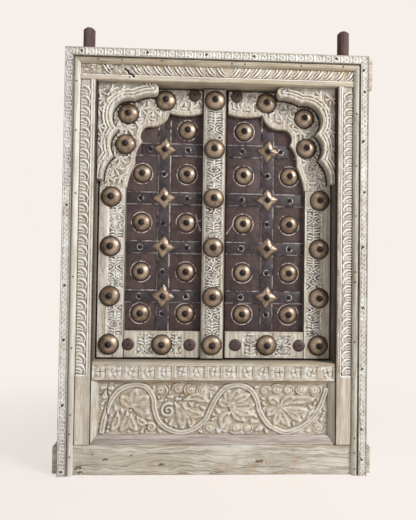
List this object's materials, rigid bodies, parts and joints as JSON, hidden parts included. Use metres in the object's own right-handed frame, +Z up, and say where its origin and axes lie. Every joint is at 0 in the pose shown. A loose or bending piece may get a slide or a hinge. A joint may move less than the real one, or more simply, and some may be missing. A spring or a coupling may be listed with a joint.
{
  "type": "carved wooden window",
  "caption": "Carved and limewashed wooden window frame with a cusped arch, closed by a pair of iron-strapped, brass-studded shutter leaves that turn on wooden pivots.",
  "frame": {"origin": "middle of the foot, on the surface that the sill stands on, at half the depth", "axes": "+Z up, +X to the right of someone facing the carved side, +Y to the back"},
  "size_m": [0.72, 0.098, 1.042],
  "materials": {
    "limewashed_wood": "carved, limewashed, worn",
    "strip_wood": "carved, limewashed, worn",
    "weathered_wood": "bare, weathered",
    "dark_wood": "old dark paint, worn",
    "peg_wood": "dark, hand worn",
    "strap_iron": "painted over, worn",
    "black_iron": "forged, black",
    "brass": "aged"
  },
  "bodies": {
    "frame": {"apron_bottom_moulding": "weathered_wood", "apron_left_moulding": "weathered_wood", "apron_panel": "limewashed_wood", "apron_right_moulding": "weathered_wood", "apron_top_moulding": "weathered_wood", "head": "limewashed_wood", "left_bead": "limewashed_wood", "left_jamb": "limewashed_wood", "left_lower_strip": "strip_wood", "left_middle_strip": "strip_wood", "left_spandrel": "limewashed_wood", "left_upper_strip": "strip_wood", "mid_rail": "weathered_wood", "right_bead": "limewashed_wood", "right_jamb": "limewashed_wood", "right_spandrel": "limewashed_wood", "right_strip": "strip_wood", "sill": "weathered_wood", "top_bead": "limewashed_wood", "top_left_strip": "strip_wood", "top_right_strip": "strip_wood"},
    "left_leaf": {"left_arch_rail": "limewashed_wood", "left_boss_nails": "black_iron", "left_bosses": "brass", "left_bottom_ledge": "dark_wood", "left_bottom_rail": "limewashed_wood", "left_carved_stile": "limewashed_wood", "left_cross_straps": "strap_iron", "left_flowers": "brass", "left_inner_board": "dark_wood", "left_iron_discs": "black_iron", "left_middle_ledge": "dark_wood", "left_outer_board": "dark_wood", "left_pivot_stile": "peg_wood", "left_strap_nails": "black_iron", "left_top_ledge": "dark_wood", "left_upright_straps": "strap_iron", "meeting_batten": "limewashed_wood"},
    "right_leaf": {"right_arch_rail": "limewashed_wood", "right_boss_nails": "black_iron", "right_bosses": "brass", "right_bottom_ledge": "dark_wood", "right_bottom_rail": "limewashed_wood", "right_carved_stile": "limewashed_wood", "right_cross_straps": "strap_iron", "right_flowers": "brass", "right_inner_board": "dark_wood", "right_iron_discs": "black_iron", "right_middle_ledge": "dark_wood", "right_outer_board": "dark_wood", "right_pivot_stile": "peg_wood", "right_strap_nails": "black_iron", "right_top_ledge": "dark_wood", "right_upright_straps": "strap_iron"}
  },
  "joints": [
    {"name": "left_leaf_hinge", "type": "hinge", "parent": "frame", "child": "left_leaf", "pos_m": [-0.306, 0.0245, 0.56], "axis": [0, 0, 1], "range_deg": [0, 100]},
    {"name": "right_leaf_hinge", "type": "hinge", "parent": "frame", "child": "right_leaf", "pos_m": [0.306, 0.0245, 0.56], "axis": [0, 0, -1], "range_deg": [0, 100]}
  ]
}
